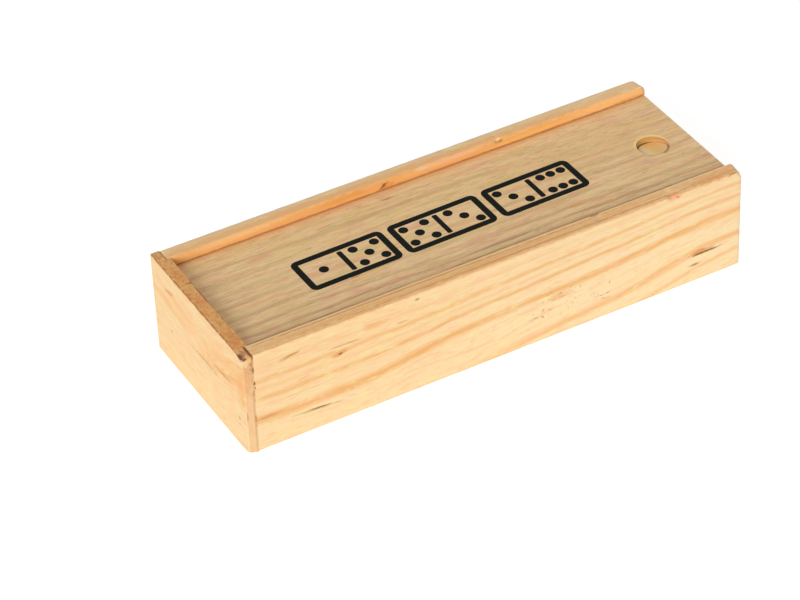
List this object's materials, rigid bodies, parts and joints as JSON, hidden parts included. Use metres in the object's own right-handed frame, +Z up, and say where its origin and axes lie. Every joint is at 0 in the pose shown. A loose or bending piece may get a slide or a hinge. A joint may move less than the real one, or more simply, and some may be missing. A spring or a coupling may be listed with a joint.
{
  "type": "domino storage box",
  "caption": "Small pine box with a lid that slides out of grooves by a round thumb notch, packed with flat wooden domino tiles.",
  "frame": {"origin": "middle of the underside, on the surface that the box rests on", "axes": "+X along the length to the open end where the lid slides out, +Y to the back wall, +Z up"},
  "size_m": [0.145, 0.05, 0.03],
  "materials": {
    "pine_sides": "sanded bare pine with orange growth rings, unvarnished",
    "pine_ends": "sanded bare pine, sawn end grain darker and mottled",
    "pine_lid": "sanded bare pine with fine straight grain",
    "pine_bottom": "thin sawn panel, bare",
    "tile_wood": "smooth light wood with black painted pips",
    "print_ink": "matt black printing ink, thin over the grain"
  },
  "bodies": {
    "box": {"side_wall_front": "pine_sides", "side_wall_back": "pine_sides", "end_board_closed": "pine_ends", "end_board_open": "pine_ends", "bottom_panel": "pine_bottom", "tile_0_0": "tile_wood", "tile_0_1": "tile_wood", "tile_0_2": "tile_wood", "tile_0_3": "tile_wood", "tile_0_4": "tile_wood", "tile_0_5": "tile_wood", "tile_0_6": "tile_wood", "tile_1_1": "tile_wood", "tile_1_2": "tile_wood", "tile_1_3": "tile_wood", "tile_1_4": "tile_wood", "tile_1_5": "tile_wood", "tile_1_6": "tile_wood", "tile_2_2": "tile_wood", "tile_2_3": "tile_wood", "tile_2_4": "tile_wood", "tile_2_5": "tile_wood", "tile_2_6": "tile_wood", "tile_3_3": "tile_wood", "tile_3_4": "tile_wood", "tile_3_5": "tile_wood", "tile_3_6": "tile_wood", "tile_4_4": "tile_wood", "tile_4_5": "tile_wood", "tile_4_6": "tile_wood", "tile_5_5": "tile_wood", "tile_5_6": "tile_wood", "tile_6_6": "tile_wood"},
    "lid": {"lid": "pine_lid"}
  },
  "joints": [
    {"name": "lid_slide", "type": "slide", "parent": "box", "child": "lid", "axis": [1, 0, 0], "range_m": [0, 0.145]}
  ]
}
